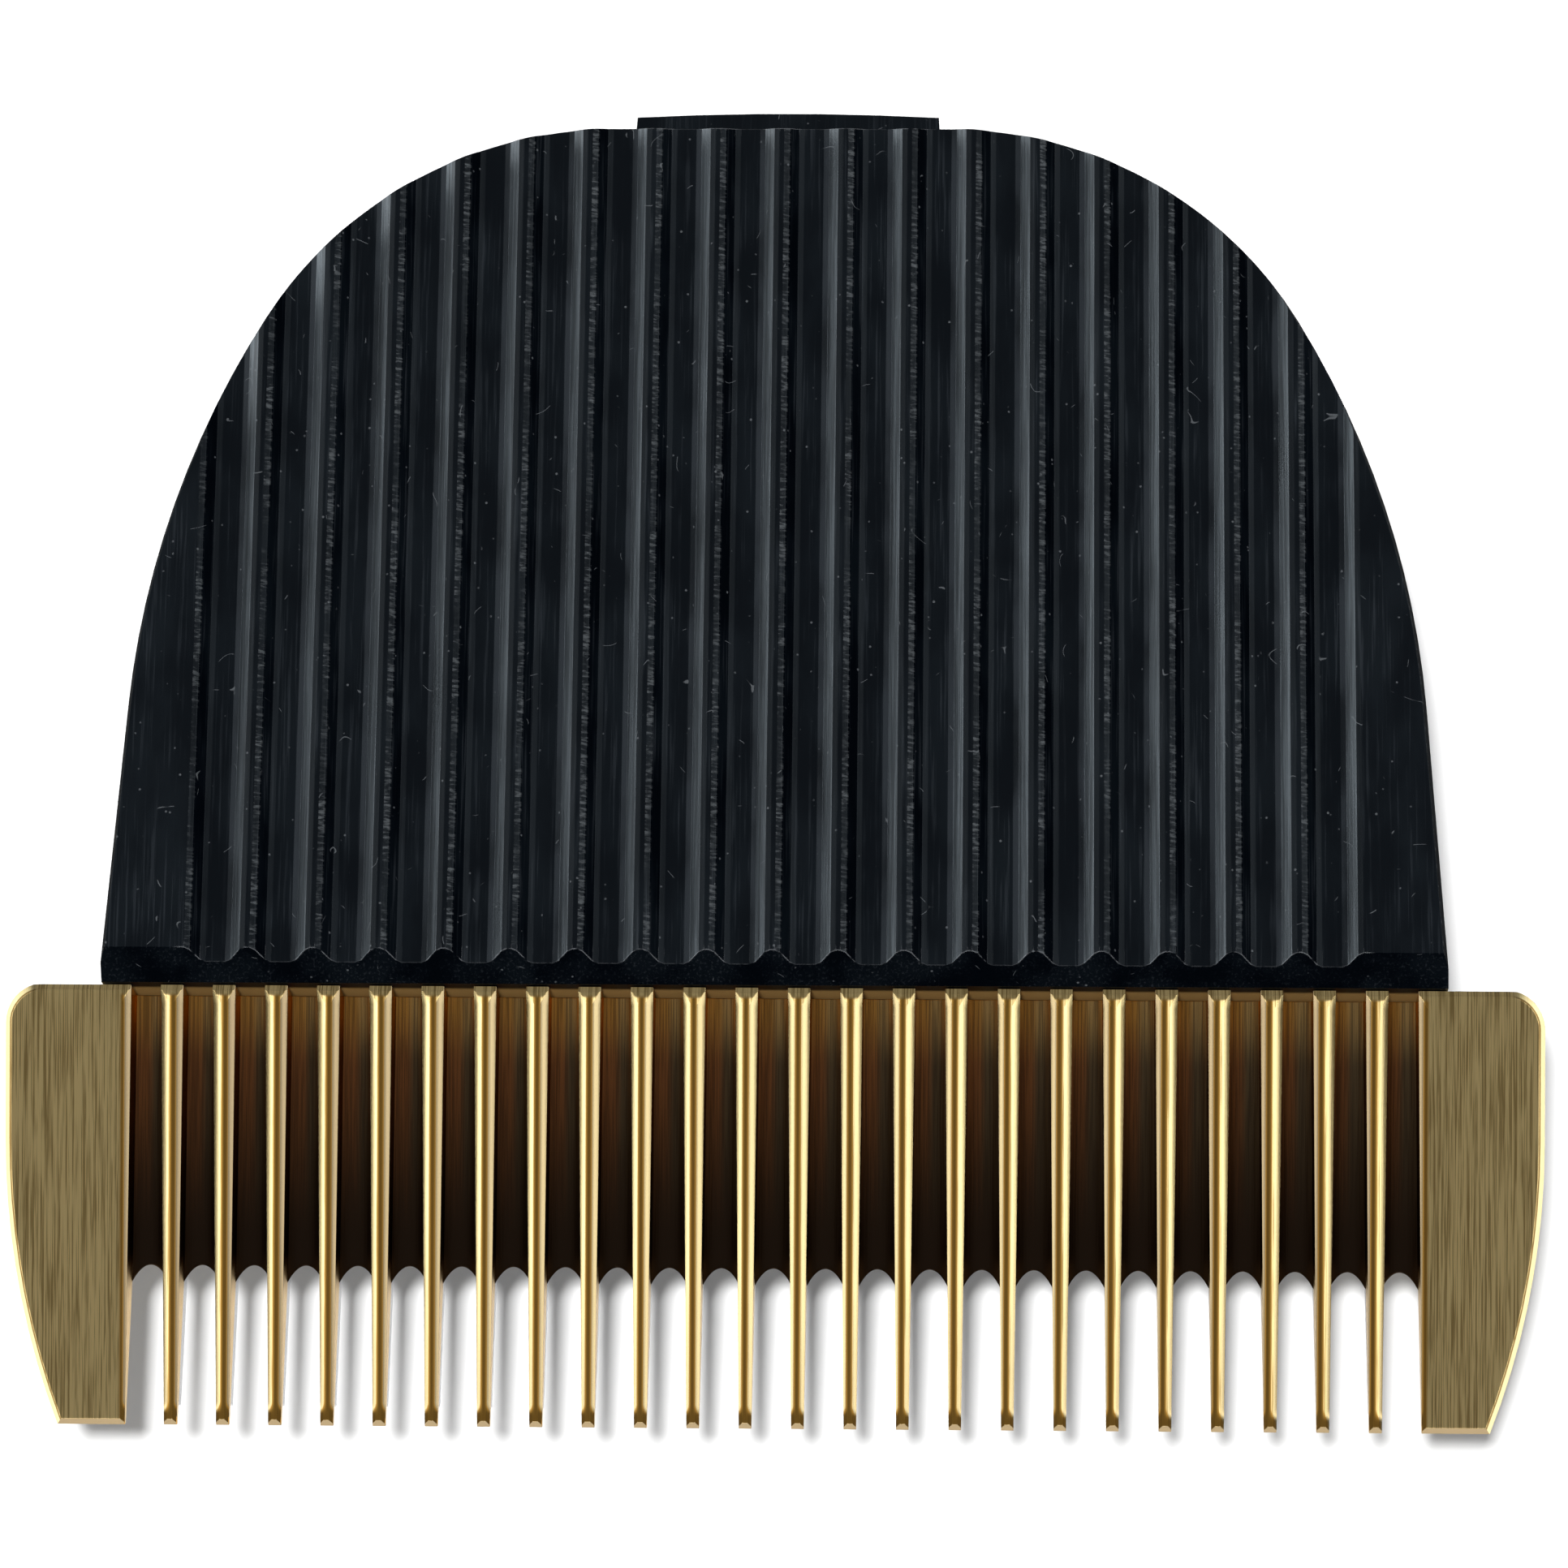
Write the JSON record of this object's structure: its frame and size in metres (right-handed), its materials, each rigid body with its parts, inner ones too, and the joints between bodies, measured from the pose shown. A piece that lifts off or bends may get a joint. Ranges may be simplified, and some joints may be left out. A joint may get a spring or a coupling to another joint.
{
  "type": "hair clipper blade",
  "caption": "Clip-on hair clipper blade block: a gold-coated steel comb on a ribbed black moulding, with a sliding cutter pressed up by wire springs underneath and a mounting hook at the rear.",
  "frame": {"origin": "middle of the block's footprint, on the plane that the moulding's lower rim rests on", "axes": "+X along the row of teeth, +Y from the tooth tips to the mounting hook, +Z out of the ribbed pad"},
  "size_m": [0.047, 0.0428, 0.0105],
  "materials": {
    "black_moulding": "moulded, slightly blue black, fine grain",
    "gold_coated_steel": "ground steel with a gold-coloured hard coating",
    "cutter_steel": "ground",
    "carrier_plastic": "moulded",
    "spring_wire": "bright drawn wire",
    "screw_steel": "zinc plated"
  },
  "bodies": {
    "base": {"blade_body": "black_moulding", "fixed_comb": "gold_coated_steel", "right_pressure_spring": "spring_wire", "left_pressure_spring": "spring_wire", "comb_screws": "screw_steel"},
    "cutter": {"moving_cutter": "cutter_steel", "cutter_carrier": "carrier_plastic"}
  },
  "joints": [
    {"name": "cutter_slide", "type": "slide", "parent": "base", "child": "cutter", "axis": [1, 0, 0], "range_m": [-0.0012, 0.0012]}
  ]
}
